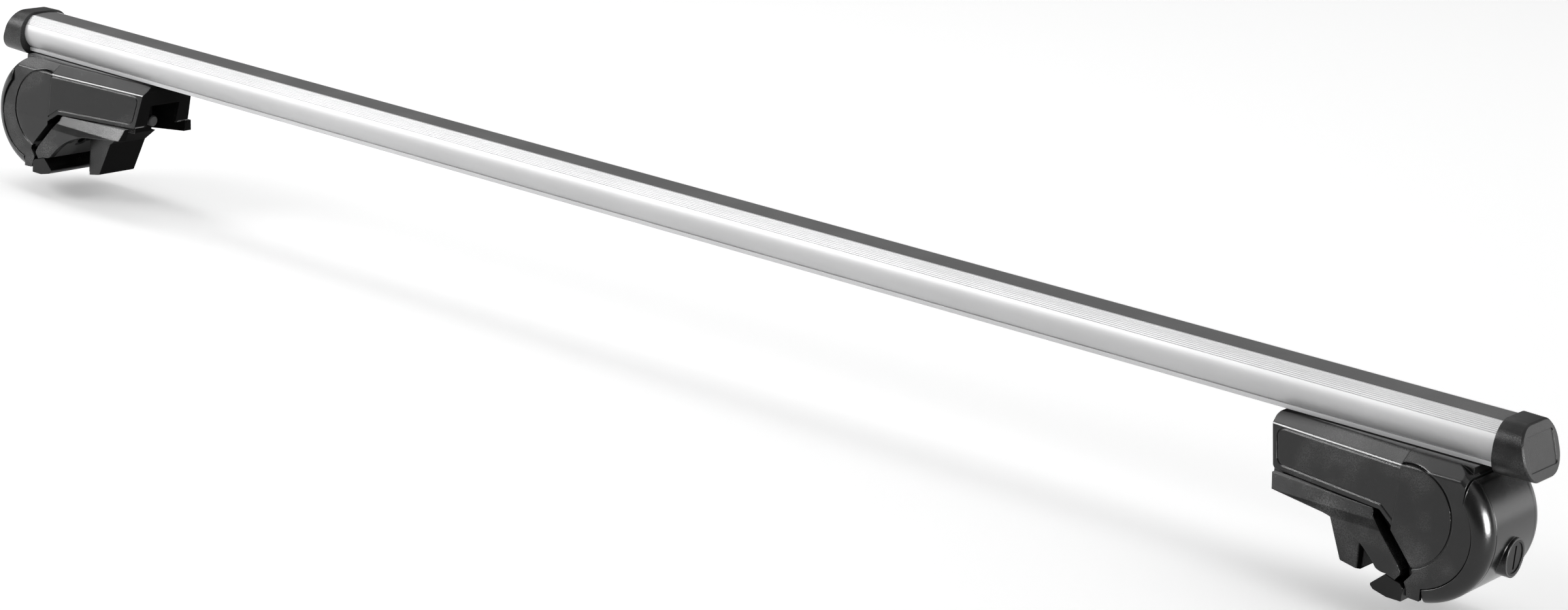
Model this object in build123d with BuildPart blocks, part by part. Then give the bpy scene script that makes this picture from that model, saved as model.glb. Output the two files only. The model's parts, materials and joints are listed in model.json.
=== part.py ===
from build123d import *
import math
import os

os.makedirs("parts", exist_ok=True)

# Bar: an oval extrusion, a slot above for the strip and a slot below for the feet
bar_length = 1200.0
bar_width = 38.0
bar_height = 31.0
bar_trim = 1.0
bar_wall = 2.0
bar_lip_width = 26.4
bar_lip_height = 2.6
lip_groove = 0.8
groove_count = 8
groove_side = 0.5
groove_first_deg = 50.0
groove_last_deg = 23.0
slot_opening = 9.0
slot_width = 18.0
slot_height = 6.0

# Rubber strip along the top
strip_drop = 3.6
strip_width = 20.2
strip_edge = 0.3
strip_crown = 0.9
strip_neck = 7.6
strip_foot_width = 13.0
strip_foot_height = 2.6
strip_gap = 0.2
strip_root = 0.5

# End caps: length at the middle, lean of the face, section at the rim and its taper
cap_length = 18.9
cap_slant = 0.33
cap_width = 46.2
cap_height = 32.4
cap_corner = 14.6
cap_drop = 2.0
cap_taper = 1.4
cap_edge = 0.9
cap_plug_depth = 18.0
cap_plug_width = 26.0
cap_plug_height = 5.0
cap_inset_width = 34.0
cap_inset_height = 20.0
cap_inset_depth = 0.5
cap_inset_corner = 2.0

# Foot: X runs from the seam between housing and drum, Z from the lowest face of the claw
seam_inset = 47.0
seam_gap = 0.1
drum_x = 15.2
drum_z = 42.2
neck_rise = 40.3

# Upper body: half depth at the seam, how it narrows inwards, and its shoulder
body_half = 35.6
body_narrowing = 0.108
shoulder_flat = 11.4
shoulder_lean = 2.2
shoulder_drop = 6.7
shoulder_round = 4.0
shoulder_edge_round = 2.5

# Inner housing: its leaning open end, lower edge and border line
housing_length = 88.0
housing_lean = 0.2
housing_wall = 3.0
housing_corner = 3.5
housing_foot_corner = 3.0
panel_low_start = 8.3
panel_low_end = 5.3
panel_bend = 9.0
seam_low = -1.2
border_width = 0.9
border_depth = 0.6
border_margin = 2.8
border_radius = 5.0
border_bend_r = 1.0
mouth_half = 14.0
mouth_top = 24.8

# Lock cover around the outer side of the drum
cover_r = 43.0
cover_rim_r = 33.6
cover_proud = 0.4
cover_band_half = 23.9
cover_wall = 2.4
cover_top_x = 40.8
cover_low_x = 24.0
cover_seam = 0.7
cover_gap = 0.6
cover_end_gap = 1.0

# Drum: core under the cover, ring line on its sides, lobes beside the cover's lower end
core_gap = 2.3
core_half = 23.0
drum_wall = 3.2
ring_x = 6.2
ring_rise = 5.6
ring_r = 29.9
ring_width = 1.2
ring_depth = 1.0
drum_foot_x = 18.6
drum_foot_z = 17.0
neck_end = 38.6
neck_half = 22.8
neck_height = 8.5
lobe_in = 32.0
lobe_end_gap = 1.0
lobe_notch = (16.8, 17.0)
lobe_waist = (12.6, 11.3)
lobe_tip = (14.4, 7.6)
lobe_foot = (15.4, 3.0)
lobe_floor = 2.7
lobe_rounds = (0, 1.5, 1.0, 2.0, 1.5, 0, 0)

# Cover hinge
hinge_deg = -72.2
pin_r = 1.6
pin_fit = 0.05
knuckle_r = 3.7
knuckle_room = 2.4
drum_lug_in = 10.0
drum_lug_out = 16.0
cover_lug_out = 22.0
lug_gap = 0.3
lug_web_half = 2.5

# Lock
lock_drop = 11.2
lock_proud = 2.0
lock_back_gap = 0.6
lock_plug_r = 9.0
lock_barrel_r = 10.3
lock_boss_r = 11.6
lock_fit = 0.06
lock_sink = 0.4
spindle_r = 3.4
key_slot_length = 14.0
key_slot_width = 1.8
key_slot_depth = 3.5
tongue_thick = 3.0
tongue_gap = 1.4
tongue_reach = 11.0
tongue_width = 8.0
window_half = 6.2
window_below = 21.0
window_above = 16.0

# Saddle and rail pad
flange_in = 28.4
flange_gap = 0.4
flange_inset = 2.9
cheek_top_half = 32.2
cheek_half = 36.8
cheek_knee = 41.0
cheek_step = 5.0
cheek_rise = 2.0
cheek_bevel = 1.0
flange_run = 4.0
flange_low_x = -74.0
limb_heel = (10.6, 15.6)
limb_half = 31.8
saddle_start = -18.0
saddle_rounds = (0, 1.0, 0, 2.5, 2.5, 1.5, 0, 0)
pad_thick = 2.0

# Rail hook
hook_half = 36.8
hook_round = 1.2
claw_tip = (-7.4, 4.8)
claw_chin = (-4.8, 2.2)
claw_base_x = 4.0
claw_end = 13.0
claw_back_z = 7.6
claw_top = (11.0, 10.0)
claw_gap = 0.4
strap_half = 28.0
strap_thick = 3.0
strap_head = 2.0
strap_tail = 1.0
strap_bend_z = 12.5
strap_low_z = 1.0
strap_set = 0.6

# Sliding jaw
jaw_half = 17.0
jaw_low = 3.2
jaw_rail_x = -24.4
jaw_toe = (-36.8, 5.6)
jaw_knee = (-47.4, 31.0)
jaw_edge = 2.2
jaw_pad_thick = 1.5
jaw_pad_half = 14.0
jaw_pad_low = 5.0
jaw_pad_top = 30.0
jaw_back_x = -58.0
jaw_step = 40.0
jaw_top = 23.8
jaw_round = 1.5
carriage_half = 13.0

# Clamp screw, nut and washer
screw_rise = 9.8
screw_r = 4.0
screw_seat_depth = 15.5
screw_tip_x = -74.0
screw_tip_chamfer = 0.8
screw_head_r = 6.5
screw_head_height = 7.0
screw_socket = 6.0
screw_fit = 0.05
screw_pass = 0.5
screw_boss_r = 12.5
seat_bore_gap = 1.0
washer_r = 8.0
washer_thick = 1.6
nut_flat = 13.0
nut_thick = 6.5
nut_x = -44.0
pocket_gap = 0.1

# Slot bolts that hold the foot to the bar
bolt_r = 3.0
bolt_head = 16.0
bolt_head_height = 4.4
bolt_lift = 0.2
bolt_clear = 0.3
bolt_length = 14.0
bolt_positions = (-63.0, drum_x)
bolt_nut_flat = 10.0
bolt_nut_height = 5.0
bolt_nut_room = 1.0
plate_thick = 4.5

# Screws that hold saddle and hook to the drum
tie_r = 2.2
tie_clear = 0.2
tie_head_r = 4.2
tie_head_height = 2.6
tie_y = 18.0
tie_along = 10.0
tie_seat = -8.0
tie_bite = 4.7

# Cuts reach past every piece by this much
reach = 150.0

# Heights and places that follow from the values above
bar_underside = drum_z + neck_rise
oval_z = bar_underside - bar_trim + bar_height / 2
seat_z = oval_z + bar_height / 2 - strip_drop
lip_top = bar_underside + bar_lip_height
strip_slot_floor = seat_z - bar_wall - strip_foot_height - strip_gap
strip_slot_width = strip_foot_width + 2 * strip_gap
cap_start = bar_length / 2
foot_x = cap_start - seam_inset
shoulder_z = bar_underside - shoulder_drop
low_start_z = drum_z + panel_low_start
low_end_z = drum_z + panel_low_end
seam_low_z = drum_z + seam_low
cover_half = body_half + cover_proud
disc_r = cover_rim_r - cover_gap
core_r = cover_r - cover_wall - core_gap
hinge_r = cover_r - knuckle_r
hinge_x = drum_x + hinge_r * math.cos(math.radians(hinge_deg))
hinge_z = drum_z + hinge_r * math.sin(math.radians(hinge_deg))
lock_z = drum_z - lock_drop
lock_face_x = drum_x + cover_r + lock_proud
lock_back_x = drum_x + core_r + lock_back_gap
screw_z = drum_z + screw_rise
screw_seat_x = drum_x + core_r - screw_seat_depth
carriage_top = drum_z + jaw_top

# Diagonal gap between the saddle's limb and the drum, where the hook's strap runs
limb_top = (-12.2, 43.5)
limb_end = (7.7, 20.6)
drum_edge_top = (-7.8, 47.4)
drum_edge_end = (16.0, 20.0)
band_length = math.dist(limb_top, limb_end)
along_x = (limb_end[0] - limb_top[0]) / band_length
along_z = (limb_end[1] - limb_top[1]) / band_length
across_x = -along_z
across_z = along_x
band_width = (drum_edge_top[0] - limb_top[0]) * across_x + (drum_edge_top[1] - limb_top[1]) * across_z


# A point of the diagonal gap: along it from its top, and across it from the limb
def band_point(along, across):
    return (
        limb_top[0] + along * along_x + across * across_x,
        limb_top[1] + along * along_z + across * across_z,
    )


# Flat pieces drawn in X and Z, the same to the front and the back
def slab(points, half_depth, rounding=0):
    with BuildPart(mode=Mode.PRIVATE) as piece:
        with BuildSketch(Plane.XZ):
            with BuildLine():
                FilletPolyline(*points, radius=rounding, close=True)
            make_face()
        extrude(amount=half_depth, both=True)
    return piece.part


# Round pieces with their centre line along Y
def barrel_y(x, z, radius, half_depth):
    with BuildPart(mode=Mode.PRIVATE) as piece:
        with BuildSketch(Plane.XZ):
            with Locations((x, z)):
                Circle(radius)
        extrude(amount=half_depth, both=True)
    return piece.part


# Round pieces with their centre line along X
def barrel_x(x_start, x_end, z, radius):
    with BuildPart(mode=Mode.PRIVATE) as piece:
        with BuildSketch(Plane.YZ.offset(x_start)):
            with Locations((0, z)):
                Circle(radius)
        extrude(amount=x_end - x_start)
    return piece.part


# Blocks given by their two limits along each axis
def block(x_limits, y_limits, z_limits):
    with BuildPart(mode=Mode.PRIVATE) as piece:
        with Locations((sum(x_limits) / 2, sum(y_limits) / 2, sum(z_limits) / 2)):
            Box(x_limits[1] - x_limits[0], y_limits[1] - y_limits[0], z_limits[1] - z_limits[0])
    return piece.part


# The same piece in front of the middle and behind it
def both_sides(solid, inner, outer):
    with BuildPart(mode=Mode.PRIVATE) as piece:
        add(solid)
        add(block((-reach, reach), (inner, outer), (-reach, reach)), mode=Mode.INTERSECT)
        mirror(about=Plane.XZ)
    return piece.part


def save(name, solid):
    solid.label = name
    export_step(solid, "parts/" + name + ".step")


# The two feet are mirror images of each other
def save_pair(name, solid):
    placed = Pos(foot_x, 0, 0) * solid
    save("right_" + name, placed)
    save("left_" + name, mirror(placed, about=Plane.YZ))


# Bar extrusion: hollow oval, lips at the foot, grooves along both upper sides
with BuildSketch(Plane.YZ.offset(-bar_length / 2)) as bar_hollow:
    with Locations((0, oval_z)):
        Ellipse(bar_width / 2 - bar_wall, bar_height / 2 - bar_wall)
    with Locations((0, lip_top)):
        Rectangle(bar_width, bar_height, align=(Align.CENTER, Align.MAX), mode=Mode.SUBTRACT)
        Rectangle(
            slot_width + 2 * bar_wall,
            slot_height + bar_wall,
            align=(Align.CENTER, Align.MIN),
            mode=Mode.SUBTRACT,
        )
    with Locations((0, seat_z - bar_wall)):
        Rectangle(bar_width, bar_height, align=(Align.CENTER, Align.MIN), mode=Mode.SUBTRACT)
    with Locations((0, strip_slot_floor - bar_wall)):
        Rectangle(
            strip_slot_width + 2 * bar_wall,
            bar_height,
            align=(Align.CENTER, Align.MIN),
            mode=Mode.SUBTRACT,
        )

with BuildPart() as bar_extrusion:
    with BuildSketch(Plane.YZ.offset(-bar_length / 2)):
        with Locations((0, oval_z)):
            Ellipse(bar_width / 2, bar_height / 2)
        with Locations((0, bar_underside)):
            Rectangle(bar_width, bar_height, align=(Align.CENTER, Align.MAX), mode=Mode.SUBTRACT)
            Rectangle(bar_lip_width, bar_lip_height, align=(Align.CENTER, Align.MIN))
            Rectangle(slot_opening, bar_lip_height, align=(Align.CENTER, Align.MIN), mode=Mode.SUBTRACT)
        with Locations((0, lip_top)):
            Rectangle(slot_width, slot_height, align=(Align.CENTER, Align.MIN), mode=Mode.SUBTRACT)
        with Locations((0, seat_z)):
            Rectangle(bar_width, bar_height, align=(Align.CENTER, Align.MIN), mode=Mode.SUBTRACT)
            Rectangle(
                strip_neck + 2 * strip_gap,
                seat_z - strip_slot_floor,
                align=(Align.CENTER, Align.MAX),
                mode=Mode.SUBTRACT,
            )
        with Locations((0, strip_slot_floor)):
            Rectangle(
                strip_slot_width,
                strip_foot_height + strip_gap,
                align=(Align.CENTER, Align.MIN),
                mode=Mode.SUBTRACT,
            )
        add(bar_hollow.sketch_local, mode=Mode.SUBTRACT)
        for side in (-1, 1):
            for i in range(groove_count):
                turn = groove_first_deg + (groove_last_deg - groove_first_deg) * i / (groove_count - 1)
                groove_y = side * bar_width / 2 * math.cos(math.radians(turn))
                groove_z = oval_z + bar_height / 2 * math.sin(math.radians(turn))
                lean = math.degrees(
                    math.atan2(
                        math.sin(math.radians(turn)) / bar_height,
                        side * math.cos(math.radians(turn)) / bar_width,
                    )
                )
                with Locations((groove_y, groove_z)):
                    Rectangle(groove_side, groove_side, rotation=lean + 45, mode=Mode.SUBTRACT)
            with Locations((side * bar_lip_width / 2, lip_top + lip_groove / 2)):
                Rectangle(3 * lip_groove, lip_groove, mode=Mode.SUBTRACT)
    extrude(amount=bar_length)
save("bar_extrusion", bar_extrusion.part)

# Rubber strip: a flat cover with a faint crown and a foot held in the upper slot
strip_side_z = seat_z + strip_edge
strip_floor = strip_slot_floor + strip_gap
with BuildPart() as top_strip:
    with BuildSketch(Plane.YZ.offset(-bar_length / 2)):
        with BuildLine():
            Polyline(
                (-strip_width / 2, strip_side_z),
                (-strip_width / 2, seat_z),
                (strip_width / 2, seat_z),
                (strip_width / 2, strip_side_z),
            )
            ThreePointArc(
                (strip_width / 2, strip_side_z),
                (0, seat_z + strip_crown),
                (-strip_width / 2, strip_side_z),
            )
        make_face()
        with Locations((0, strip_floor)):
            Rectangle(strip_neck, seat_z - strip_floor + strip_root, align=(Align.CENTER, Align.MIN))
            Rectangle(
                strip_foot_width, strip_foot_height - strip_gap, align=(Align.CENTER, Align.MIN)
            )
    extrude(amount=bar_length)
save("top_strip", top_strip.part)

# End cap: a rounded block proud of the bar, cut off by a leaning face with a shallow inset
cap_z = oval_z - cap_drop
face_plane = Plane(
    origin=(cap_start + cap_length, 0, cap_z),
    x_dir=(0, 1, 0),
    z_dir=(1, 0, cap_slant),
)
with BuildPart() as end_cap:
    with BuildSketch(Plane.YZ.offset(cap_start)):
        with Locations((0, cap_z)):
            RectangleRounded(cap_width, cap_height, cap_corner)
    extrude(amount=2 * cap_length, taper=cap_taper)
    split(bisect_by=face_plane, keep=Keep.BOTTOM)
    chamfer(end_cap.faces().sort_by(Axis.X)[-1].edges(), length=cap_edge)
    with BuildSketch(face_plane):
        RectangleRounded(cap_inset_width, cap_inset_height, cap_inset_corner)
    extrude(amount=-cap_inset_depth, mode=Mode.SUBTRACT)
    with BuildSketch(Plane.YZ.offset(cap_start)):
        with Locations((0, oval_z)):
            Rectangle(cap_plug_width, cap_plug_height)
    extrude(amount=-cap_plug_depth)
save("end_cap_right", end_cap.part)
save("end_cap_left", mirror(end_cap.part, about=Plane.YZ))

# Shoulder slope of the foot's upper body, for walls drawn in square to it
slope_y = shoulder_flat - shoulder_lean
slope_length = math.hypot(slope_y, shoulder_drop)
flat_shift = (slope_length - slope_y) / shoulder_drop
slope_shift = (slope_length - shoulder_drop) / slope_y


# Upper body of the foot from one X to another, drawn in by a wall; it narrows inwards
def upper_body(x_start, x_end, wall, narrowing):
    half = body_half + narrowing * x_start - wall
    with BuildPart(mode=Mode.PRIVATE) as piece:
        with BuildSketch(Plane.YZ.offset(x_start)):
            with BuildLine():
                FilletPolyline(
                    (-reach, bar_underside - wall),
                    (half - shoulder_flat + wall * (1 - flat_shift), bar_underside - wall),
                    (half - shoulder_lean, shoulder_z - wall * slope_shift),
                    (half, seam_low_z),
                    (half, -reach),
                    (-reach, -reach),
                    radius=(0, shoulder_round, shoulder_edge_round, 0, 0, 0),
                    close=True,
                )
            make_face()
        extrude(amount=(x_end - x_start) * math.hypot(1, narrowing), dir=(1, narrowing, 0))
    return both_sides(piece.part, 0, reach)


# X of the housing's leaning end at a height
def housing_end(z):
    return -housing_length + housing_lean * (bar_underside - z)


housing_side = slab(
    [
        (housing_end(bar_underside), bar_underside),
        (0, bar_underside),
        (0, seam_low_z),
        (-panel_bend, low_end_z),
        (housing_end(low_start_z), low_start_z),
    ],
    reach,
    (housing_corner, 0, 0, 0, housing_foot_corner),
)
housing_room = slab(
    [
        (housing_end(bar_underside) + housing_wall, bar_underside),
        (reach, bar_underside),
        (reach, 0),
        (housing_end(0) + housing_wall, 0),
    ],
    reach,
)

# Border line drawn round the side panels
border_fall = (low_end_z - seam_low_z) / panel_bend
border_top = shoulder_z - border_width
border_low = low_start_z + border_margin
with BuildPart() as panel_border:
    with BuildSketch(Plane.XZ):
        with BuildLine():
            FilletPolyline(
                (housing_end(border_top) + border_margin, border_top),
                (panel_bend, border_top),
                (panel_bend, low_end_z + border_margin - 2 * border_fall * panel_bend),
                (-panel_bend, low_end_z + border_margin),
                (housing_end(border_low) + border_margin, border_low),
                radius=(border_radius, 0, 0, border_bend_r, border_radius),
                close=True,
            )
        make_face()
        offset(amount=-border_width, mode=Mode.SUBTRACT)
    extrude(amount=reach, both=True)
    add(upper_body(-reach, reach, border_depth, body_narrowing), mode=Mode.SUBTRACT)

# Inner housing: a hollow body with an end wall, open below and towards the drum
with BuildPart() as housing_hollow:
    add(upper_body(-housing_length, reach, housing_wall, body_narrowing))
    add(housing_room, mode=Mode.INTERSECT)

with BuildPart() as foot_housing:
    add(upper_body(-housing_length, 0, 0, body_narrowing))
    add(housing_side, mode=Mode.INTERSECT)
    add(housing_hollow.part, mode=Mode.SUBTRACT)
    add(
        block((-reach, -housing_length / 2), (-mouth_half, mouth_half), (0, drum_z + mouth_top)),
        mode=Mode.SUBTRACT,
    )
    add(panel_border.part, mode=Mode.SUBTRACT)
    with Locations((bolt_positions[0], 0, bar_underside)):
        Hole(radius=bolt_r + bolt_clear, depth=2 * housing_wall)
save_pair("foot_housing", foot_housing.part)

# Full round body of the drum with the cover's outer shape
drum_axis = Axis((drum_x, 0, drum_z), (0, 1, 0))
drum_plane = Plane(origin=(drum_x, 0, drum_z), x_dir=(1, 0, 0), z_dir=(0, 0, 1))
rim_round_r = cover_r - cover_rim_r
rim_round_y = cover_half - cover_band_half
diagonal = math.sqrt(0.5)
with BuildPart() as round_body:
    with BuildSketch(drum_plane):
        with BuildLine():
            mid_r = cover_rim_r + rim_round_r * diagonal
            mid_y = cover_band_half + rim_round_y * diagonal
            ThreePointArc((cover_rim_r, -cover_half), (mid_r, -mid_y), (cover_r, -cover_band_half))
            Line((cover_r, -cover_band_half), (cover_r, cover_band_half))
            ThreePointArc((cover_r, cover_band_half), (mid_r, mid_y), (cover_rim_r, cover_half))
            Polyline(
                (cover_rim_r, cover_half),
                (0, cover_half),
                (0, -cover_half),
                (cover_rim_r, -cover_half),
            )
        make_face()
    revolve(axis=drum_axis)

# Room inside the cover: plain slopes behind the rims and a cylinder behind the band
room_r = cover_r - cover_wall
room_half = cover_half - cover_wall
slope_r = cover_rim_r + (room_r - cover_rim_r) * diagonal
slope_half = cover_band_half + (room_half - cover_band_half) * diagonal
with BuildPart() as cover_room:
    with BuildSketch(drum_plane):
        with BuildLine():
            Polyline(
                (0, -reach),
                (cover_rim_r, -reach),
                (cover_rim_r, -room_half),
                (slope_r, -slope_half),
                (room_r, -cover_band_half),
                (room_r, cover_band_half),
                (slope_r, slope_half),
                (cover_rim_r, room_half),
                (cover_rim_r, reach),
                (0, reach),
                close=True,
            )
        make_face()
    revolve(axis=drum_axis)

# Side view of the cover: cut off upright above and below
cover_side = slab(
    [
        (cover_top_x, reach),
        (reach, reach),
        (reach, -reach),
        (cover_low_x, -reach),
        (cover_low_x, drum_z),
        (cover_top_x, drum_z),
    ],
    reach,
)

# Drum region right of the seam and the diagonal gap, and the hollow within it
drum_left = seam_gap
drum_corner_z = drum_edge_top[1] - (drum_left - drum_edge_top[0]) * across_x / across_z
drum_region = slab(
    [
        (drum_left, reach),
        (drum_left, drum_corner_z),
        drum_edge_end,
        (drum_foot_x, drum_foot_z),
        (drum_foot_x, -reach),
        (reach, -reach),
        (reach, reach),
    ],
    reach,
)
hollow_region = slab(
    [
        (drum_left + drum_wall, reach),
        (drum_left + drum_wall, drum_corner_z + drum_wall * across_x),
        (drum_edge_end[0] + drum_wall, drum_edge_end[1] + drum_wall),
        (drum_foot_x + drum_wall, drum_foot_z + drum_wall),
        (drum_foot_x + drum_wall, -reach),
        (reach, -reach),
        (reach, reach),
    ],
    body_half - shoulder_lean - drum_wall,
)
plate_z = bar_underside - plate_thick

# Shoulder over the drum as far as the cover's upper end
with BuildPart() as drum_shoulder:
    add(round_body.part)
    add(
        block((drum_left, cover_top_x - cover_end_gap), (-reach, reach), (drum_z, bar_underside)),
        mode=Mode.INTERSECT,
    )
    add(upper_body(drum_left, reach, 0, 0), mode=Mode.INTERSECT)

# Hollow of the drum, wider in the middle than at the sides
with BuildPart() as drum_hollow:
    add(barrel_y(drum_x, drum_z, disc_r - drum_wall, reach))
    add(barrel_y(drum_x, drum_z, core_r - drum_wall, core_half - drum_wall))
    add(hollow_region, mode=Mode.INTERSECT)
    add(block((drum_left, reach), (-reach, reach), (-reach, plate_z)), mode=Mode.INTERSECT)

# Boss inside the drum that the clamp screw passes through
with BuildPart() as screw_boss:
    add(barrel_x(drum_left, reach, screw_z, screw_boss_r))
    add(barrel_y(drum_x, drum_z, core_r, core_half), mode=Mode.INTERSECT)
    add(drum_region, mode=Mode.INTERSECT)

# Ring lines on the two sides of the drum
with BuildPart() as ring_lines:
    with BuildSketch(Plane.XZ):
        with Locations((ring_x, drum_z + ring_rise)):
            Circle(ring_r)
            Circle(ring_r - ring_width, mode=Mode.SUBTRACT)
    extrude(amount=reach, both=True)
    add(upper_body(-reach, reach, ring_depth, 0), mode=Mode.SUBTRACT)

# Lobes that close the drum's sides beside the cover's lower end
drum_lobes = both_sides(
    slab(
        [
            drum_edge_end,
            lobe_notch,
            lobe_waist,
            lobe_tip,
            lobe_foot,
            (cover_low_x - lobe_end_gap, lobe_floor),
            (cover_low_x - lobe_end_gap, drum_z),
        ],
        reach,
        lobe_rounds,
    ),
    lobe_in,
    body_half,
)


# Screw lines across the diagonal gap: shanks, clearance holes and heads
def tie_barrels(radius, start, end):
    with BuildPart(mode=Mode.PRIVATE) as piece:
        for y in (-tie_y, tie_y):
            foot = band_point(tie_along, start)
            with BuildSketch(Plane(origin=(foot[0], y, foot[1]), z_dir=(across_x, 0, across_z))):
                Circle(radius)
            extrude(amount=end - start)
    return piece.part


tie_end = band_width + tie_bite


# Drum housing: round body under the cover, shoulder and neck up to the bar, hinge lugs
lug_web = block(
    (drum_foot_x, hinge_x), (-reach, reach), (hinge_z - lug_web_half, hinge_z + lug_web_half)
)
with BuildPart() as drum_housing:
    add(barrel_y(drum_x, drum_z, disc_r, reach))
    add(upper_body(drum_left, reach, 0, 0), mode=Mode.INTERSECT)
    add(barrel_y(drum_x, drum_z, core_r, core_half))
    add(drum_shoulder.part)
    add(
        block((drum_x, neck_end), (-neck_half, neck_half), (bar_underside - neck_height, bar_underside))
    )
    add(drum_region, mode=Mode.INTERSECT)
    add(block((drum_left, reach), (-reach, reach), (-reach, bar_underside)), mode=Mode.INTERSECT)
    add(drum_hollow.part, mode=Mode.SUBTRACT)
    add(drum_lobes)
    add(screw_boss.part)
    add(barrel_x(screw_seat_x, reach, screw_z, washer_r + seat_bore_gap), mode=Mode.SUBTRACT)
    add(barrel_x(-reach, screw_seat_x, screw_z, screw_r + screw_pass), mode=Mode.SUBTRACT)
    add(
        block(
            (screw_seat_x, reach),
            (-window_half, window_half),
            (lock_z - window_below, lock_z + window_above),
        ),
        mode=Mode.SUBTRACT,
    )
    add(barrel_y(hinge_x, hinge_z, knuckle_r + knuckle_room, lobe_in), mode=Mode.SUBTRACT)
    add(both_sides(lug_web, drum_lug_in, drum_lug_out))
    add(both_sides(barrel_y(hinge_x, hinge_z, knuckle_r, reach), drum_lug_in, drum_lug_out))
    add(barrel_y(hinge_x, hinge_z, pin_r + pin_fit, lobe_in), mode=Mode.SUBTRACT)
    add(ring_lines.part, mode=Mode.SUBTRACT)
    add(tie_barrels(tie_r, tie_seat, tie_end), mode=Mode.SUBTRACT)
    with Locations((bolt_positions[1], 0, bar_underside)):
        Hole(radius=bolt_r + bolt_clear, depth=2 * plate_thick)
    with BuildSketch(Plane.XY.offset(plate_z)):
        with Locations((bolt_positions[1], 0)):
            Circle(bolt_nut_flat / math.sqrt(3) + bolt_nut_room)
    extrude(amount=-bolt_nut_height - bolt_nut_room, mode=Mode.SUBTRACT)
save_pair("drum_housing", drum_housing.part)

# Lock cover: two rounded rims and a band between them, with a boss for the lock
with BuildPart() as lock_cover:
    add(round_body.part)
    add(barrel_x(drum_x, lock_face_x, lock_z, lock_boss_r))
    add(cover_room.part, mode=Mode.SUBTRACT)
    add(cover_side, mode=Mode.INTERSECT)
    for side in (-1, 1):
        with BuildSketch(drum_plane):
            with Locations((cover_r, side * cover_band_half)):
                Rectangle(cover_seam * 2, cover_seam)
        revolve(axis=drum_axis, mode=Mode.SUBTRACT)
    add(barrel_x(drum_x + core_half, reach, lock_z, lock_barrel_r), mode=Mode.SUBTRACT)
    add(
        both_sides(
            barrel_y(hinge_x, hinge_z, knuckle_r + knuckle_room, reach),
            drum_lug_in - lug_gap,
            drum_lug_out + lug_gap,
        ),
        mode=Mode.SUBTRACT,
    )
    add(both_sides(barrel_y(hinge_x, hinge_z, knuckle_r, reach), drum_lug_out + lug_gap, cover_lug_out))
    add(barrel_y(hinge_x, hinge_z, pin_r + pin_fit, cover_lug_out), mode=Mode.SUBTRACT)
save_pair("lock_cover", lock_cover.part)

# Pin of the cover hinge
save_pair("cover_pin", barrel_y(hinge_x, hinge_z, pin_r, cover_lug_out))

# Lock: a fixed barrel ring, a plug with a key slot, and a tongue behind it
with BuildPart() as lock_barrel:
    add(barrel_x(lock_back_x, lock_face_x, lock_z, lock_barrel_r))
    add(barrel_x(drum_x, reach, lock_z, lock_plug_r + lock_fit), mode=Mode.SUBTRACT)
save_pair("lock_barrel", lock_barrel.part)

tongue_front_x = (
    drum_x + math.sqrt((core_r - drum_wall) ** 2 - (lock_drop + tongue_width / 2) ** 2) - tongue_gap
)
with BuildPart() as lock_plug:
    add(barrel_x(lock_back_x, lock_face_x - lock_sink, lock_z, lock_plug_r))
    add(barrel_x(tongue_front_x, lock_back_x, lock_z, spindle_r))
    add(
        block(
            (lock_face_x - key_slot_depth, reach),
            (-key_slot_width / 2, key_slot_width / 2),
            (lock_z - key_slot_length / 2, lock_z + key_slot_length / 2),
        ),
        mode=Mode.SUBTRACT,
    )
save_pair("lock_plug", lock_plug.part)

with BuildPart() as lock_tongue:
    with BuildSketch(Plane.YZ.offset(tongue_front_x - tongue_thick)):
        with Locations((0, lock_z)):
            Circle(tongue_width / 2)
            Rectangle(tongue_width, tongue_reach, align=(Align.CENTER, Align.MIN))
    extrude(amount=tongue_thick)
save_pair("lock_tongue", lock_tongue.part)

# Arched underside of the saddle over the rail, from the flange to the toe of the limb
arch_bend = (-42.0, 37.1)
arch_mid = (-18.0, 27.1)
arch_knee = (-5.2, 14.9)
arch_sole = (-2.6, 13.7)
arch_toe = (1.4, 13.3)
limb_toe = (7.4, 11.3)


# Everything below the arch, lifted by a thickness
def under_arch(lift, half_depth):
    with BuildPart(mode=Mode.PRIVATE) as piece:
        with BuildSketch(Plane.XZ):
            with BuildLine():
                Polyline((-housing_length, -reach), (-housing_length, cheek_knee + cheek_rise), arch_bend)
                ThreePointArc(arch_bend, arch_mid, arch_knee)
                ThreePointArc(arch_knee, arch_sole, arch_toe)
                Polyline(arch_toe, limb_toe, (limb_toe[0], -reach), (-housing_length, -reach))
            make_face()
        extrude(amount=half_depth, both=True)
    return Pos(0, 0, lift) * piece.part


# Rail saddle: flanges under the housing that run into a limb over the rail
flange_top_start = (housing_end(low_start_z) + flange_inset, low_start_z - flange_gap)
saddle_blank = slab(
    [
        flange_top_start,
        (-panel_bend - flange_run, low_end_z - flange_gap),
        limb_top,
        limb_end,
        limb_heel,
        limb_toe,
        (arch_knee[0], -reach),
        (flange_low_x, cheek_knee - cheek_step),
    ],
    cheek_half,
    saddle_rounds,
)
with BuildPart() as saddle_section:
    with BuildSketch(Plane.YZ.offset(-reach)):
        with BuildLine():
            Polyline(
                (0, reach),
                (cheek_top_half, reach),
                (cheek_top_half, low_start_z - flange_gap),
                (cheek_half - cheek_bevel, cheek_knee),
                (cheek_half, cheek_knee - cheek_step),
                (cheek_half, -reach),
                (0, -reach),
                close=True,
            )
        make_face()
    extrude(amount=2 * reach)
    mirror(about=Plane.XZ)
pad_zone = block((saddle_start, reach), (-limb_half, limb_half), (-reach, reach))
with BuildPart() as pad_seat:
    add(under_arch(pad_thick, reach))
    add(pad_zone, mode=Mode.INTERSECT)

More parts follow.
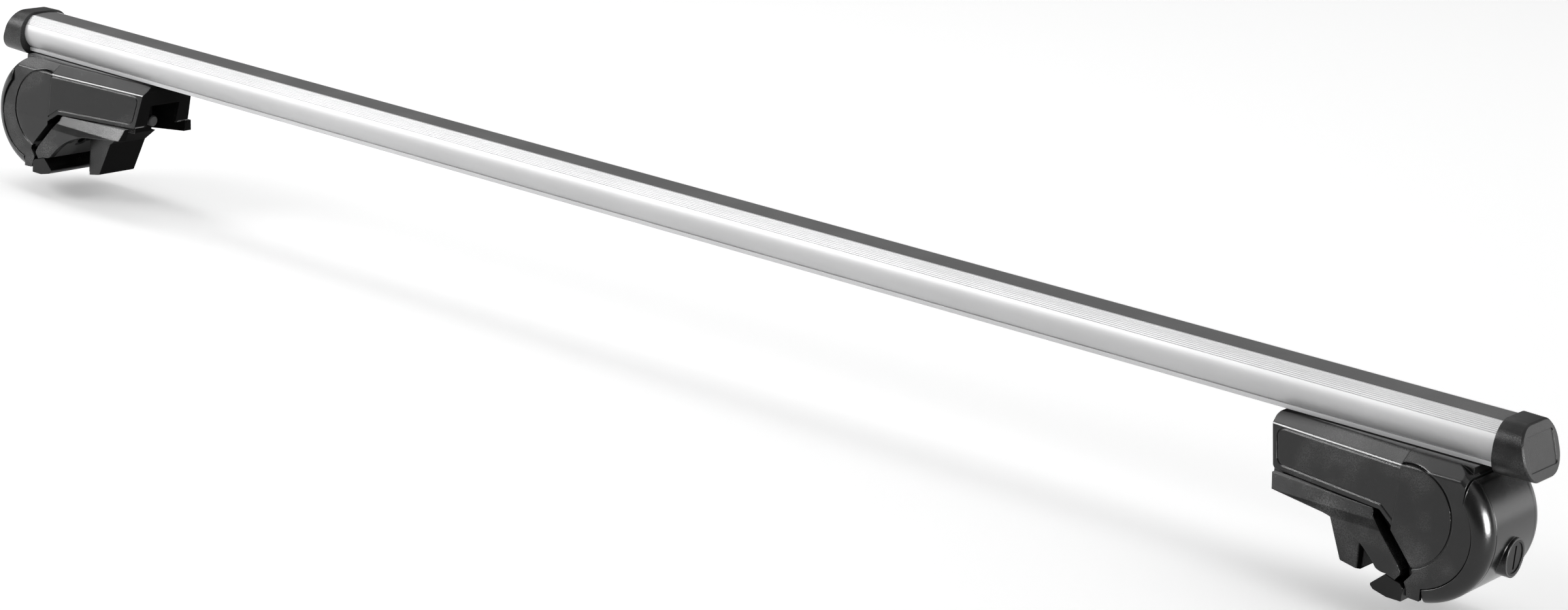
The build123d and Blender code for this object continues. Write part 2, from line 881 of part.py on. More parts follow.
with BuildPart() as rail_saddle:
    add(saddle_blank)
    add(saddle_section.part, mode=Mode.INTERSECT)
    add(under_arch(0, reach), mode=Mode.SUBTRACT)
    add(block((-reach, saddle_start), (-flange_in, flange_in), (-reach, reach)), mode=Mode.SUBTRACT)
    add(pad_seat.part, mode=Mode.SUBTRACT)
    add(tie_barrels(tie_r + tie_clear, tie_seat - pad_thick, tie_end), mode=Mode.SUBTRACT)
    add(tie_barrels(tie_head_r + tie_clear, -reach, tie_seat), mode=Mode.SUBTRACT)
save_pair("rail_saddle", rail_saddle.part)

# Rubber face under the limb
with BuildPart() as rail_pad:
    add(pad_seat.part)
    add(under_arch(0, reach), mode=Mode.SUBTRACT)
    add(tie_barrels(tie_head_r + tie_clear, -reach, tie_seat), mode=Mode.SUBTRACT)
save_pair("rail_pad", rail_pad.part)

# Rail hook: a claw under the limb's toe on a strap that runs up the diagonal gap
strap_in = (band_width - strap_thick) / 2
strap_out = strap_in + strap_thick
claw_outline = [
    claw_tip,
    claw_chin,
    (claw_base_x, 0),
    (claw_end, 0),
    (claw_end, claw_back_z),
    claw_top,
    (limb_toe[0], limb_toe[1] - claw_gap),
    (arch_toe[0], arch_toe[1] - claw_gap),
]
strap_outline = [
    band_point(strap_head, strap_in),
    band_point(strap_head, strap_out),
    band_point(band_length + strap_tail, strap_out),
    (claw_end + strap_thick, strap_bend_z),
    (claw_end + strap_thick, strap_low_z),
    (claw_end - strap_thick, strap_low_z),
    (claw_end - strap_set, strap_bend_z),
    band_point(band_length + strap_tail, strap_in),
]
with BuildPart() as rail_hook:
    add(slab(claw_outline, hook_half, (hook_round, hook_round, 0, 0, hook_round, hook_round, 0, 0)))
    add(slab(strap_outline, strap_half))
    add(tie_barrels(tie_r + tie_clear, tie_seat, tie_end), mode=Mode.SUBTRACT)
save_pair("rail_hook", rail_hook.part)

# Screws through saddle and strap into the drum
with BuildPart() as tie_screws:
    add(tie_barrels(tie_r, tie_seat, tie_end))
    add(tie_barrels(tie_head_r, tie_seat - tie_head_height, tie_seat))
save_pair("tie_screws", tie_screws.part)

# Sliding jaw: a carriage in the housing with a wider leg down the inner side of the rail
leg_outline = [
    jaw_toe,
    (jaw_rail_x, jaw_low),
    (jaw_rail_x, jaw_step),
    (jaw_back_x, jaw_step),
    jaw_knee,
]
with BuildPart() as sliding_jaw:
    add(slab(leg_outline, jaw_half, (jaw_round, 0, 0, 0, 0)))
    chamfer(sliding_jaw.edges().filter_by(Axis.Z).group_by(Axis.X)[-1], length=jaw_edge)
    add(
        block(
            (jaw_back_x, jaw_rail_x),
            (-carriage_half, carriage_half),
            (jaw_step, carriage_top),
        )
    )
    add(
        block(
            (nut_x - pocket_gap, nut_x + nut_thick + pocket_gap),
            (-nut_flat / 2 - pocket_gap, nut_flat / 2 + pocket_gap),
            (screw_z - nut_flat / 2 - pocket_gap, reach),
        ),
        mode=Mode.SUBTRACT,
    )
    add(barrel_x(-reach, reach, screw_z, screw_r + screw_pass), mode=Mode.SUBTRACT)
save_pair("sliding_jaw", sliding_jaw.part)

# Rubber face of the jaw
save_pair(
    "jaw_pad",
    block(
        (jaw_rail_x, jaw_rail_x + jaw_pad_thick),
        (-jaw_pad_half, jaw_pad_half),
        (jaw_pad_low, jaw_pad_top),
    ),
)

# Square nut held in the jaw
with BuildPart() as jaw_nut:
    add(
        block(
            (nut_x, nut_x + nut_thick),
            (-nut_flat / 2, nut_flat / 2),
            (screw_z - nut_flat / 2, screw_z + nut_flat / 2),
        )
    )
    add(barrel_x(-reach, reach, screw_z, screw_r + screw_fit), mode=Mode.SUBTRACT)
save_pair("jaw_nut", jaw_nut.part)

# Clamp screw with a hexagon socket, and its washer
head_x = screw_seat_x + washer_thick
with BuildPart() as clamp_screw:
    add(barrel_x(screw_tip_x, head_x, screw_z, screw_r))
    add(barrel_x(head_x, head_x + screw_head_height, screw_z, screw_head_r))
    with BuildSketch(Plane.YZ.offset(head_x + screw_head_height)):
        with Locations((0, screw_z)):
            RegularPolygon(screw_socket / 2, 6, major_radius=False)
    extrude(amount=-screw_head_height / 2, mode=Mode.SUBTRACT)
    chamfer(clamp_screw.edges().sort_by(Axis.X)[0], length=screw_tip_chamfer)
save_pair("clamp_screw", clamp_screw.part)

with BuildPart() as screw_washer:
    add(barrel_x(screw_seat_x, head_x, screw_z, washer_r))
    add(barrel_x(-reach, reach, screw_z, screw_r + screw_pass), mode=Mode.SUBTRACT)
save_pair("screw_washer", screw_washer.part)

# Slot bolts up into the bar, with their nuts inside the foot
bolt_top = lip_top + bolt_lift + bolt_head_height
nut_tops = (bar_underside - housing_wall, plate_z)
with BuildPart() as slot_bolts:
    for x in bolt_positions:
        add(
            block(
                (x - bolt_head / 2, x + bolt_head / 2),
                (-bolt_head / 2, bolt_head / 2),
                (bolt_top - bolt_head_height, bolt_top),
            )
        )
        with BuildSketch(Plane.XY.offset(bolt_top)):
            with Locations((x, 0)):
                Circle(bolt_r)
        extrude(amount=-bolt_length - bolt_head_height)
save_pair("slot_bolts", slot_bolts.part)

with BuildPart() as slot_nuts:
    for x, top in zip(bolt_positions, nut_tops):
        with BuildSketch(Plane.XY.offset(top)):
            with Locations((x, 0)):
                RegularPolygon(bolt_nut_flat / 2, 6, major_radius=False)
                Circle(bolt_r, mode=Mode.SUBTRACT)
        extrude(amount=-bolt_nut_height)
save_pair("slot_nuts", slot_nuts.part)
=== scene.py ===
"""Roof rack crossbar: finishes, panel lips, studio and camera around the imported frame."""

import json
import logging
import math
from dataclasses import dataclass
from enum import Enum

import bmesh
import bpy
from mathutils import Matrix, Vector


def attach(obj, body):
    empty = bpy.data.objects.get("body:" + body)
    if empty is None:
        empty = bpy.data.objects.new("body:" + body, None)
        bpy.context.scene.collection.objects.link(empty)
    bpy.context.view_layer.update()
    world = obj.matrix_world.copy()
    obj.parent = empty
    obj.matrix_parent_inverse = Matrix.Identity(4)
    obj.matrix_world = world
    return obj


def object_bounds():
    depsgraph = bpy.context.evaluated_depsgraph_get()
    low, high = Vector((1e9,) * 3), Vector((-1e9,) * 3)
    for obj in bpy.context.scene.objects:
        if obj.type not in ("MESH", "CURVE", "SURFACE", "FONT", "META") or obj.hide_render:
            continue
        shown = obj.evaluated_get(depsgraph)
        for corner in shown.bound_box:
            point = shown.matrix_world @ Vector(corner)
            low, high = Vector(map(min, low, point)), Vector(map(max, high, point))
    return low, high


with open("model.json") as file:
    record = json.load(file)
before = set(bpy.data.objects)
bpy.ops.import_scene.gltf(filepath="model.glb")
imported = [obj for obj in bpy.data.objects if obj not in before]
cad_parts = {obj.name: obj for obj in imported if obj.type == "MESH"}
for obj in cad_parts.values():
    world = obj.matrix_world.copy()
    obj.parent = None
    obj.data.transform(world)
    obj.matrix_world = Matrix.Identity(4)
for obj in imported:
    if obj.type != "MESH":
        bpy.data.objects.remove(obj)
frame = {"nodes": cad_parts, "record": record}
cad_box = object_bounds()
log = logging.getLogger("crossbar")

Range = tuple[float, float]
Triple = tuple[float, float, float]
MM = 0.001
MID_NOISE = 0.5
LAMP_POWER = 4.0  # watts per square metre of a lamp's face for a brightness of 1


class Wire:
    """A node's output socket that does maths: an expression on wires adds Math nodes."""

    def __init__(self, graph: "Graph", socket: bpy.types.NodeSocket) -> None:
        """Keeps the graph and the socket."""
        self.graph = graph
        self.socket = socket

    def _math(self, operation: str, first: "Term", second: "Term") -> "Wire":
        """Adds a Math node of two terms."""
        return self.graph.node("ShaderNodeMath", {"operation": operation}, {0: first, 1: second})

    def __add__(self, other: "Term") -> "Wire":
        """self + other"""
        return self._math("ADD", self, other)

    def __radd__(self, other: "Term") -> "Wire":
        """other + self"""
        return self._math("ADD", other, self)

    def __sub__(self, other: "Term") -> "Wire":
        """self - other"""
        return self._math("SUBTRACT", self, other)

    def __rsub__(self, other: "Term") -> "Wire":
        """other - self"""
        return self._math("SUBTRACT", other, self)

    def __mul__(self, other: "Term") -> "Wire":
        """self * other"""
        return self._math("MULTIPLY", self, other)

    def __rmul__(self, other: "Term") -> "Wire":
        """other * self"""
        return self._math("MULTIPLY", other, self)

    def __abs__(self) -> "Wire":
        """The value without its sign."""
        return self.graph.node("ShaderNodeMath", {"operation": "ABSOLUTE"}, {0: self})

    def within(self, low: float, high: float) -> "Wire":
        """The share of the way from low to high, eased at both ends.

        Args:
            low: The value that gives 0.
            high: The value that gives 1.

        Returns:
            The share, from 0 to 1.
        """
        return self.graph.node(
            "ShaderNodeMapRange",
            {"interpolation_type": "SMOOTHSTEP"},
            {"Value": self, "From Min": low, "From Max": high},
        )


Term = Wire | float


def grey(level: float) -> Triple:
    """A neutral colour."""
    return (level, level, level)


class Graph:
    """One material's nodes, around a Principled shader."""

    EDGE_SAMPLES = 4
    EDGE_TURN: Range = (0.03, 0.25)  # 1 - cosine of the turn, where the mask starts and is full

    def __init__(self, name: str) -> None:
        """Starts a material with a Principled shader and an output.

        Args:
            name: The material's name.
        """
        self.material = bpy.data.materials.new(name)
        self.material.use_nodes = True
        self.tree = self.material.node_tree
        self.tree.nodes.clear()
        self.shader = self.tree.nodes.new("ShaderNodeBsdfPrincipled")
        self.output = self.tree.nodes.new("ShaderNodeOutputMaterial")
        self.show(Wire(self, self.shader.outputs[0]))

    def node(
        self,
        kind: str,
        settings: dict[str, object],
        inputs: dict[int | str, object],
        output: int | str = 0,
    ) -> Wire:
        """Adds a node: its settings first, then the values or links of its sockets.

        Args:
            kind: The node's type name.
            settings: Attributes by name.
            inputs: Values or wires by socket name or number.
            output: Which output the wire comes from.

        Returns:
            The wire from that output.
        """
        node = self.tree.nodes.new(kind)
        for key, value in settings.items():
            setattr(node, key, value)
        for key, value in inputs.items():
            self._feed(node.inputs[key], value)
        return Wire(self, node.outputs[output])

    def set(self, **inputs: object) -> None:
        """Sets the shader's sockets; an underscore in a name stands for a space."""
        for key, value in inputs.items():
            self._feed(self.shader.inputs[key.replace("_", " ")], value)

    def show(self, surface: Wire) -> None:
        """Makes a shader the material's surface."""
        self.tree.links.new(surface.socket, self.output.inputs["Surface"])

    def _feed(self, socket: bpy.types.NodeSocket, value: object) -> None:
        """Links a wire to the socket, or writes a plain value there.

        Args:
            socket: The input socket.
            value: A wire, a number, or a colour or vector as a tuple.
        """
        if isinstance(value, Wire):
            self.tree.links.new(value.socket, socket)
        elif isinstance(value, tuple) and socket.type == "RGBA":
            socket.default_value = (*value, 1.0)
        else:
            socket.default_value = value

    def place(self) -> Wire:
        """The point on the object, in metres."""
        return self.node("ShaderNodeTexCoord", {}, {}, "Object")

    def stretched(self, by: Triple) -> Wire:
        """The point on the object with each axis multiplied."""
        times = {"operation": "MULTIPLY"}
        return self.node("ShaderNodeVectorMath", times, {0: self.place(), 1: by})

    def normal(self) -> Wire:
        """The face's own direction."""
        return self.node("ShaderNodeNewGeometry", {}, {}, "Normal")

    def along(self, axis: str, vector: Wire) -> Wire:
        """A vector's X, Y or Z."""
        return self.node("ShaderNodeSeparateXYZ", {}, {0: vector}, axis)

    def noise(self, scale: float, detail: float, at: Wire | None = None) -> Wire:
        """Noise from 0 to 1.

        Args:
            scale: Features to the metre.
            detail: Octaves of finer noise.
            at: The point to read it at, the object's own point if left out.

        Returns:
            The noise value.
        """
        point = self.place() if at is None else at
        inputs = {"Vector": point, "Scale": scale, "Detail": detail}
        return self.node("ShaderNodeTexNoise", {}, inputs, "Fac")

    def mix(self, share: Term, first: object, second: object) -> Wire:
        """A colour between two.

        Args:
            share: How much of the second, from 0 to 1.
            first: A colour or a wire.
            second: A colour or a wire.

        Returns:
            The mixed colour.
        """
        factor, first_colour, second_colour, colour_out = 0, 6, 7, 2
        inputs = {factor: share, first_colour: first, second_colour: second}
        return self.node("ShaderNodeMix", {"data_type": "RGBA"}, inputs, colour_out)

    def softened(self, radius: float) -> Wire:
        """The normal, with edges rounded off by a radius in metres."""
        return self.node("ShaderNodeBevel", {"samples": self.EDGE_SAMPLES}, {"Radius": radius})

    def edges(self, soft: Wire) -> Wire:
        """Finds the edges that a softened normal rounds off.

        Args:
            soft: The softened normal.

        Returns:
            A mask that is 1 on the edges.
        """
        dot = {"operation": "DOT_PRODUCT"}
        facing = self.node("ShaderNodeVectorMath", dot, {0: soft, 1: self.normal()}, "Value")
        return (1.0 - facing).within(*self.EDGE_TURN)

    def bump(self, height: Wire, depth: float, normal: Wire) -> None:
        """Feeds the shader's normal with a bump.

        Args:
            height: The pattern, from 0 to 1.
            depth: Its depth in metres.
            normal: The normal that it stands on.
        """
        inputs = {"Height": height, "Distance": depth, "Normal": normal}
        self.set(Normal=self.node("ShaderNodeBump", {}, inputs))


@dataclass(frozen=True)
class Pattern:
    """A noise: its features to the metre, its octaves, and the values where it fades in."""

    scale: float
    detail: float
    fade: Range = (0.0, 1.0)

    def on(self, graph: Graph) -> Wire:
        """The noise on the object, from 0 to 1."""
        return graph.noise(self.scale, self.detail)


@dataclass(frozen=True)
class SatinAluminium:
    """Anodised extrusion with fine lines drawn along its length."""

    tone: Triple = (0.68, 0.68, 0.685)
    duller: float = 0.95
    roughness: float = 0.56
    metal: float = 0.25
    clouds: Pattern = Pattern(14.0, 3.0, (0.3, 0.7))
    clouding: float = 0.06
    lines: Pattern = Pattern(1.0, 3.0)
    line_stretch: Triple = (6.0, 5200.0, 5200.0)
    line_roughness: float = 0.10
    line_depth: float = 0.012 * MM
    edge: float = 0.2 * MM

    def material(self, name: str) -> bpy.types.Material:
        """Builds the material.

        Args:
            name: The material's name.

        Returns:
            The finished material.
        """
        graph = Graph(name)
        stretched = graph.stretched(self.line_stretch)
        lines = graph.noise(self.lines.scale, self.lines.detail, stretched)
        clouds = self.clouds.on(graph)
        cloudy = tuple(level * self.duller for level in self.tone)
        finer = self.line_roughness * (lines - MID_NOISE)
        graph.set(
            Base_Color=graph.mix(clouds.within(*self.clouds.fade), self.tone, cloudy),
            Roughness=self.roughness + finer + self.clouding * (clouds - MID_NOISE),
            Metallic=self.metal,
        )
        graph.bump(lines, self.line_depth, graph.softened(self.edge))
        return graph.material


@dataclass(frozen=True)
class PaintedShadeInside:
    """Painted shade on a moulding's faces that look along the bar or in towards its middle line,
    or lie near it.
    """

    tone_share: float = 0.4
    roughness: float = 0.9
    shine: float = 0.08
    along_bar: Range = (0.80, 0.93)
    inward: Range = (1.0 * MM, 3.0 * MM)
    sheltered: Range = (16.0 * MM, 16.8 * MM)

    def mask(self, graph: Graph) -> Wire:
        """Finds those faces.

        Args:
            graph: The material's nodes.

        Returns:
            A mask that is 1 on them.
        """
        normal = graph.normal()
        along_bar = abs(graph.along("X", normal)).within(*self.along_bar)
        depth = graph.along("Y", graph.place())
        inward = (0.0 - graph.along("Y", normal) * depth).within(*self.inward)
        sheltered = 1.0 - abs(depth).within(*self.sheltered)
        return 1.0 - (1.0 - along_bar) * (1.0 - inward) * (1.0 - sheltered)

    def cover(self, graph: Graph, tone: float) -> None:
        """Paints shade on those faces: a darker grey with hardly a reflection.

        Args:
            graph: The material's nodes.
            tone: The grey of the other faces.
        """
        # Painted shade: the masked faces get a darker grey, rough and with little reflection.
        look = {
            "Base Color": grey(self.tone_share * tone),
            "Roughness": self.roughness,
            "Specular IOR Level": self.shine,
        }
        dull = graph.node("ShaderNodeBsdfPrincipled", {}, look)
        glossy = Wire(graph, graph.shader.outputs[0])
        shaders = {0: self.mask(graph), 1: glossy, 2: dull}
        graph.show(graph.node("ShaderNodeMixShader", {}, shaders))


@dataclass(frozen=True)
class Moulding:
    """Moulded plastic or rubber: a fine grain, clouded gloss, pale dust and rubbed edges, with
    painted shade on inside faces where given.
    """

    tone: float
    haze: float
    roughness: float
    grain: float
    grain_depth: float
    grain_detail: float = 2.0
    shine: float = 0.5
    clouds: Pattern = Pattern(24.0, 4.0, (0.44, 0.74))
    clouding: float = 0.20
    patches: Pattern = Pattern(1400.0, 2.0, (0.35, 0.65))
    between_patches: float = 0.4
    patch_roughness: float = 0.1
    specks: Pattern = Pattern(900.0, 1.0, (0.70, 0.78))
    dust: float = 0.12
    dust_tone: Triple = (0.16, 0.16, 0.155)
    edge: float = 0.6 * MM
    rubbed: float = 0.35
    rubbed_tone: float = 2.0
    # Painted shade on the faces that look along the bar or inward, where given.
    painted_shade: PaintedShadeInside | None = None

    def material(self, name: str) -> bpy.types.Material:
        """Builds the material.

        Args:
            name: The material's name.

        Returns:
            The finished material.
        """
        graph = Graph(name)
        grain = graph.noise(self.grain, self.grain_detail)
        clouds = self.clouds.on(graph)
        patches = self.patches.on(graph)
        specks = self.specks.on(graph).within(*self.specks.fade) * self.dust
        soft = graph.softened(self.edge)
        patchy = self.between_patches + patches.within(*self.patches.fade)
        hazy = clouds.within(*self.clouds.fade) * patchy
        ground = graph.mix(hazy, grey(self.tone), grey(self.haze))
        dusty = graph.mix(specks, ground, self.dust_tone)
        worn = grey(self.rubbed_tone * self.haze)
        cloudy = self.clouding * (clouds - MID_NOISE)
        graph.set(
            Base_Color=graph.mix(graph.edges(soft) * self.rubbed, dusty, worn),
            Roughness=self.roughness + cloudy + self.patch_roughness * (patches - MID_NOISE),
            Specular_IOR_Level=self.shine,
        )
        graph.bump(grain, self.grain_depth, soft)
        # Mixes the painted shade over the inside faces.
        if self.painted_shade:
            self.painted_shade.cover(graph, self.tone)
        return graph.material


@dataclass(frozen=True)
class PlatedSteel:
    """Zinc-plated steel of the screws and pins, painted near-black as shade on the screws' inner
    ends inside the housings.
    """

    tone: Triple = (0.42, 0.42, 0.425)
    darker: float = 0.7
    clouds: Pattern = Pattern(420.0, 3.0, (0.35, 0.7))
    clouding: float = 0.2
    cloud_depth: float = 0.01 * MM
    edge: float = 0.3 * MM
    # Painted shade: the screws' inner ends, inside the housings, are near-black and not metallic.
    shaded_end_tone: Triple = (0.012, 0.012, 0.012)
    shaded_end_roughness: float = 0.6
    smoother: float = 0.3
    shaded_to: float = 490.0 * MM
    unshaded_from: float = 500.0 * MM

    def material(self, name: str) -> bpy.types.Material:
        """Builds the material.

        Args:
            name: The material's name.

        Returns:
            The finished material.
        """
        graph = Graph(name)
        clouds = self.clouds.on(graph)
        cloudy = tuple(level * self.darker for level in self.tone)
        from_middle = abs(graph.along("X", graph.place()))
        # The painted shade fades out between these distances from the bar's middle.
        unshaded = from_middle.within(self.shaded_to, self.unshaded_from)
        plated = graph.mix(clouds.within(*self.clouds.fade), self.tone, cloudy)
        smooth = self.shaded_end_roughness - self.smoother * unshaded
        graph.set(
            Base_Color=graph.mix(unshaded, self.shaded_end_tone, plated),
            Roughness=smooth + self.clouding * (clouds - MID_NOISE),
            Metallic=unshaded,
        )
        graph.bump(clouds, self.cloud_depth, graph.softened(self.edge))
        return graph.material


FINISHES: dict[str, SatinAluminium | Moulding | PlatedSteel] = {
    "bar_aluminium": SatinAluminium(),
    "strip_rubber": Moulding(
        tone=0.10, haze=0.125, roughness=0.66, grain=2600.0, grain_depth=0.05 * MM, dust=0.5
    ),
    "cap_plastic": Moulding(
        tone=0.005, haze=0.060, roughness=0.32, grain=2000.0, grain_depth=0.08 * MM, shine=0.3
    ),
    "foot_plastic": Moulding(
        tone=0.002,
        haze=0.085,
        roughness=0.23,
        grain=2600.0,
        grain_depth=0.026 * MM,
        edge=0.9 * MM,
        # Painted shade on the foot's inside faces.
        painted_shade=PaintedShadeInside(),
    ),
    "cover_plastic": Moulding(
        tone=0.002, haze=0.050, roughness=0.23, grain=2600.0, grain_depth=0.03 * MM, edge=0.9 * MM
    ),
    "lock_plastic": Moulding(
        tone=0.003,
        haze=0.020,
        roughness=0.30,
        grain=2600.0,
        grain_depth=0.03 * MM,
        shine=0.15,
        edge=0.4 * MM,
    ),
    "pad_rubber": Moulding(
        tone=0.006, haze=0.010, roughness=0.75, grain=1500.0, grain_depth=0.08 * MM
    ),
    "hook_metal": Moulding(
        tone=0.002, haze=0.014, roughness=0.24, grain=2600.0, grain_depth=0.04 * MM, shine=0.3
    ),
    "steel": PlatedSteel(),
}


class Side(Enum):
    """The two ends of the bar."""

    RIGHT = "right"
    LEFT = "left"


class Finishes:
    """The record's material slots, each with its finish as a material."""

    def __init__(self) -> None:
        """Builds one material for each slot."""
        self.materials = {slot: finish.material(slot) for slot, finish in FINISHES.items()}
        self.slots = {part["node"]: part["material_slot"] for part in frame["record"]["subparts"]}

    def dress(self, name: str) -> None:
        """Gives a node of the frame the material of its slot.

        Args:
            name: The node's name.
        """
        node = frame["nodes"][name]
        node.data.materials.clear()
        node.data.materials.append(self.materials[self.slots[name]])
        log.info("%s: %s", name, self.slots[name])


def prism(name: str, corners: list[Triple]) -> bpy.types.Object:
    """A solid between two quadrilaterals.

    Args:
        name: The object's name.
        corners: The lower four corners in order, then the upper four.

    Returns:
        The new object.
    """
    lower, upper = (3, 2, 1, 0), (4, 5, 6, 7)
    sides = [(i, (i + 1) % 4, 4 + (i + 1) % 4, 4 + i) for i in range(4)]
    mesh = bpy.data.meshes.new(name)
    mesh.from_pydata(corners, [], [lower, upper, *sides])
    shape = bmesh.new()
    shape.from_mesh(mesh)
    bmesh.ops.recalc_face_normals(shape, faces=shape.faces)
    shape.to_mesh(mesh)
    shape.free()
    solid = bpy.data.objects.new(name, mesh)
    bpy.context.scene.collection.objects.link(solid)
    return solid


@dataclass
class Bar:
    """The extrusion and its rubber strip."""

    nodes: tuple[str, ...] = ("bar_extrusion", "top_strip")

    def dress(self, finishes: Finishes) -> None:
        """Gives the pieces their finishes."""
        for name in self.nodes:
            finishes.dress(name)


@dataclass
class EndCap:
    """The cap on one end of the bar."""

    side: Side

    def dress(self, finishes: Finishes) -> None:
        """Gives the cap its finish."""
        finishes.dress(f"end_cap_{self.side.value}")


@dataclass
class ClampFoot:
    """One foot with its cover, lock, jaw and fasteners.

    The seam between the foot's two halves is measured from the bar's middle, and the lips' ends
    from the seam, outward. The side panels narrow towards the bar's middle, and their lower edges
    fall away from it.
    """

    side: Side
    seam: float = 553.0 * MM
    panel_half: float = 35.6 * MM
    panel_narrowing: float = 0.108
    panel_low: float = 50.5 * MM
    panel_fall: float = 0.0413
    lip_start: float = -81.3 * MM
    lip_end: float = -50.0 * MM
    lip_outer: float = 2.0 * MM
    lip_inner: float = 2.95 * MM
    lip_depth: float = 3.6 * MM
    lip_gap: float = 0.03 * MM
    pieces: tuple[str, ...] = (
        "foot_housing",
        "drum_housing",
        "lock_cover",
        "cover_pin",
        "lock_barrel",
        "lock_plug",
        "lock_tongue",
        "rail_saddle",
        "rail_pad",
        "rail_hook",
        "tie_screws",
        "sliding_jaw",
        "jaw_pad",
        "jaw_nut",
        "clamp_screw",
        "screw_washer",
        "slot_bolts",
        "slot_nuts",
    )

    def build(self, finishes: Finishes) -> None:
        """Adds the lips under both side panels that close the view over the saddle's flanges.

        Args:
            finishes: The materials by slot.
        """
        for face, across in (("front", -1.0), ("back", 1.0)):
            lip = prism(f"{self.side.value}_panel_lip_{face}", self._lip_corners(across))
            lip.data.materials.append(finishes.materials["foot_plastic"])
            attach(lip, f"{self.side.value}_foot")
            log.info("%s: foot_plastic", lip.name)

    def _lip_corners(self, across: float) -> list[Triple]:
        """The corners of one lip, along the panel's lower edge.

        Args:
            across: -1 for the front panel, 1 for the back panel.

        Returns:
            The lower four corners, then the upper four.
        """
        outward = 1.0 if self.side is Side.RIGHT else -1.0
        plan = [
            (self.lip_start, self.lip_outer),
            (self.lip_end, self.lip_outer),
            (self.lip_end, self.lip_inner),
            (self.lip_start, self.lip_inner),
        ]
        return [
            (
                outward * (self.seam + x),
                across * (self.panel_half + self.panel_narrowing * x - inset),
                self.panel_low - self.panel_fall * (x - self.lip_start) - below,
            )
            for below in (self.lip_depth, self.lip_gap)
            for x, inset in plan
        ]

    def dress(self, finishes: Finishes) -> None:
        """Gives the foot's pieces their finishes."""
        for piece in self.pieces:
            finishes.dress(f"{self.side.value}_{piece}")


def turned(degrees: float, axis: str) -> Matrix:
    """A turn about an axis, as a 4 by 4 matrix."""
    return Matrix.Rotation(math.radians(degrees), 4, axis)


@dataclass
class PhotoCamera:
    """The photograph's viewpoint, in degrees and metres, with its lens in millimetres."""

    azimuth: float = 35.78
    elevation: float = 15.47
    roll: float = 5.45
    place: Triple = (1.3393, -1.7189, 0.6390)
    lens: float = 79.5
    sensor: float = 36.0
    sees_to: float = 50.0
    level: float = 90.0

    def build(self) -> None:
        """Adds the camera and makes it the scene's own."""
        data = bpy.data.cameras.new("photo_camera")
        data.lens = self.lens
        data.sensor_width = self.sensor
        data.clip_end = self.sees_to
        camera = bpy.data.objects.new("photo_camera", data)
        tilt = turned(self.level - self.elevation, "X")
        turn = turned(self.azimuth, "Z") @ tilt @ turned(self.roll, "Z")
        camera.matrix_world = Matrix.Translation(self.place) @ turn
        bpy.context.scene.collection.objects.link(camera)
        bpy.context.scene.camera = camera


@dataclass(frozen=True)
class Softbox:
    """A rectangular soft lamp, with the brightness that its face shows."""

    name: str
    place: Triple
    target: Triple
    size: tuple[float, float]
    brightness: float
    gloss_only: bool = False

    def build(self) -> None:
        """Adds the lamp."""
        data = bpy.data.lights.new(self.name, "AREA")
        data.shape = "RECTANGLE"
        width, height = self.size
        data.size, data.size_y = width, height
        data.energy = LAMP_POWER * width * height * self.brightness
        lamp = bpy.data.objects.new(self.name, data)
        aim = Vector(self.target) - Vector(self.place)
        turn = aim.to_track_quat("-Z", "Y").to_matrix().to_4x4()
        lamp.matrix_world = Matrix.Translation(self.place) @ turn
        lamp.visible_diffuse = not self.gloss_only
        bpy.context.scene.collection.objects.link(lamp)


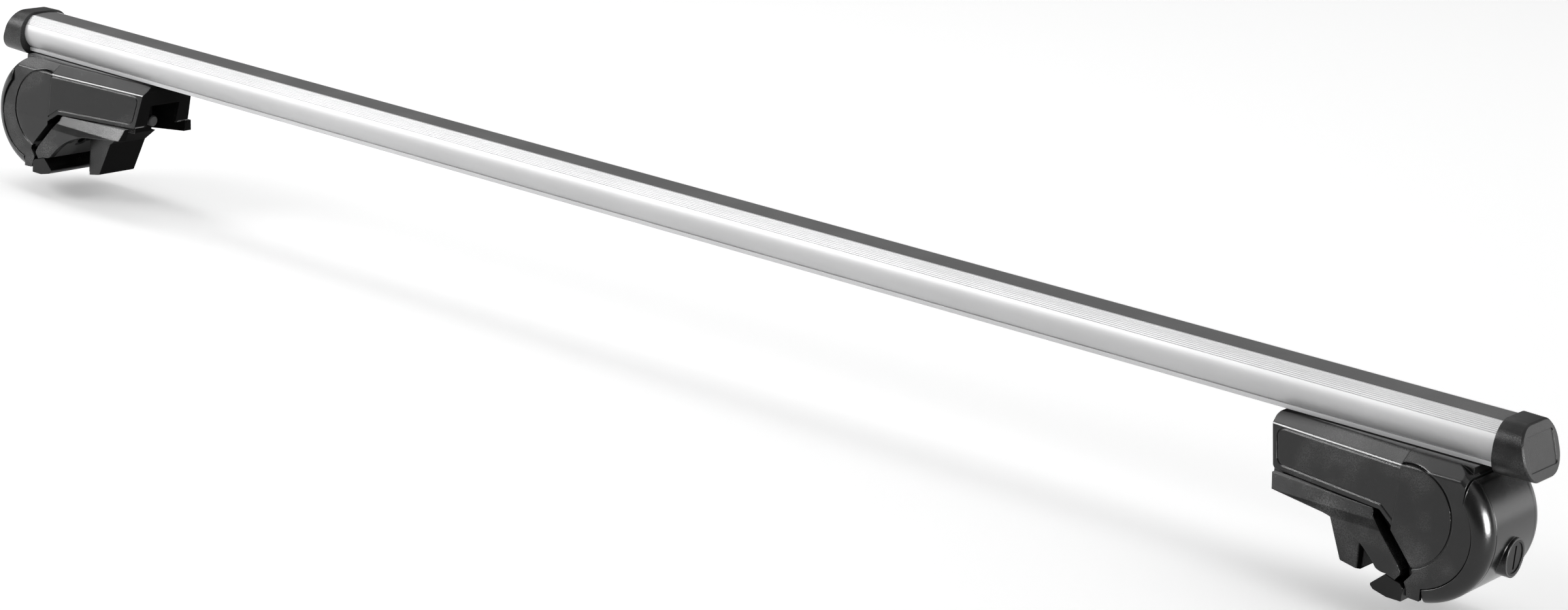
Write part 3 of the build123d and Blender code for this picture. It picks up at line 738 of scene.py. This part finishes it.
LAMPS = (
    Softbox(
        name="overhead",
        place=(1.2, 2.0, 2.8),
        target=(1.2, 2.0, 0.0),
        size=(6.0, 6.0),
        brightness=0.50,
    ),
    Softbox(
        name="key",
        place=(-1.45, -1.6, 1.45),
        target=(0.0, 0.0, 0.05),
        size=(1.6, 0.8),
        brightness=4.0,
    ),
    Softbox(
        name="top",
        place=(-1.7, 0.1, 2.3),
        target=(0.0, 0.0, 0.1),
        size=(0.8, 2.4),
        brightness=1.7,
    ),
    Softbox(
        name="near_strip",
        place=(-0.86, -1.41, 1.39),
        target=(0.5, 0.0, 0.075),
        size=(0.4, 1.2),
        brightness=28.0,
        gloss_only=True,
    ),
    Softbox(
        name="far_strip",
        place=(-1.87, -1.49, 1.31),
        target=(-0.5, 0.0, 0.075),
        size=(0.4, 1.2),
        brightness=28.0,
        gloss_only=True,
    ),
    Softbox(
        name="side",
        place=(2.6, -0.1, 0.45),
        target=(0.6, 0.0, 0.1),
        size=(0.9, 0.7),
        brightness=55.0,
        gloss_only=True,
    ),
    Softbox(
        name="rear",
        place=(1.43, 1.5, 0.2),
        target=(0.6, 0.0, 0.1),
        size=(1.0, 0.4),
        brightness=1.25,
        gloss_only=True,
    ),
)


@dataclass
class Studio:
    """White floor, pale surroundings and soft lamps."""

    floor_size: float = 14.0
    floor_drop: float = 17.0 * MM
    floor_tone: float = 0.95
    floor_roughness: float = 0.9
    floor_glow: float = 0.33
    surroundings: float = 0.20
    lamps: tuple[Softbox, ...] = LAMPS

    def build(self) -> None:
        """Adds floor, surroundings and lamps."""
        self._floor()
        self._world()
        for lamp in self.lamps:
            lamp.build()

    def _floor(self) -> None:
        """Adds the white floor, low enough for the covers to swing open over it."""
        height = cad_box[0][2] - self.floor_drop
        bpy.ops.mesh.primitive_plane_add(size=self.floor_size, location=(0, 0, height))
        floor = bpy.context.object
        floor.name = "studio_floor"
        graph = Graph("studio_floor")
        seen = graph.node("ShaderNodeLightPath", {}, {}, "Is Camera Ray")
        for ray in ("Is Glossy Ray", "Is Transmission Ray"):
            seen = seen + graph.node("ShaderNodeLightPath", {}, {}, ray)
        graph.set(
            Base_Color=grey(self.floor_tone),
            Roughness=self.floor_roughness,
            Specular_IOR_Level=0.0,
            Emission_Color=graph.mix(seen, grey(0.0), grey(1.0)),
            Emission_Strength=self.floor_glow,
        )
        floor.data.materials.append(graph.material)

    def _world(self) -> None:
        """Makes the surroundings an even pale grey."""
        world = bpy.data.worlds.new("studio")
        world.use_nodes = True
        bpy.context.scene.world = world
        background = world.node_tree.nodes["Background"]
        background.inputs["Color"].default_value = (*grey(1.0), 1.0)
        background.inputs["Strength"].default_value = self.surroundings


def main() -> None:
    """Dresses the bar, the caps and the feet, then adds the studio and the camera."""
    bpy.context.scene.view_settings.view_transform = "Standard"
    finishes = Finishes()
    Bar().dress(finishes)
    for side in Side:
        EndCap(side).dress(finishes)
        foot = ClampFoot(side)
        foot.build(finishes)
        foot.dress(finishes)
    Studio().build()
    PhotoCamera().build()


if __name__ == "__main__":
    logging.basicConfig(level=logging.INFO)
    main()
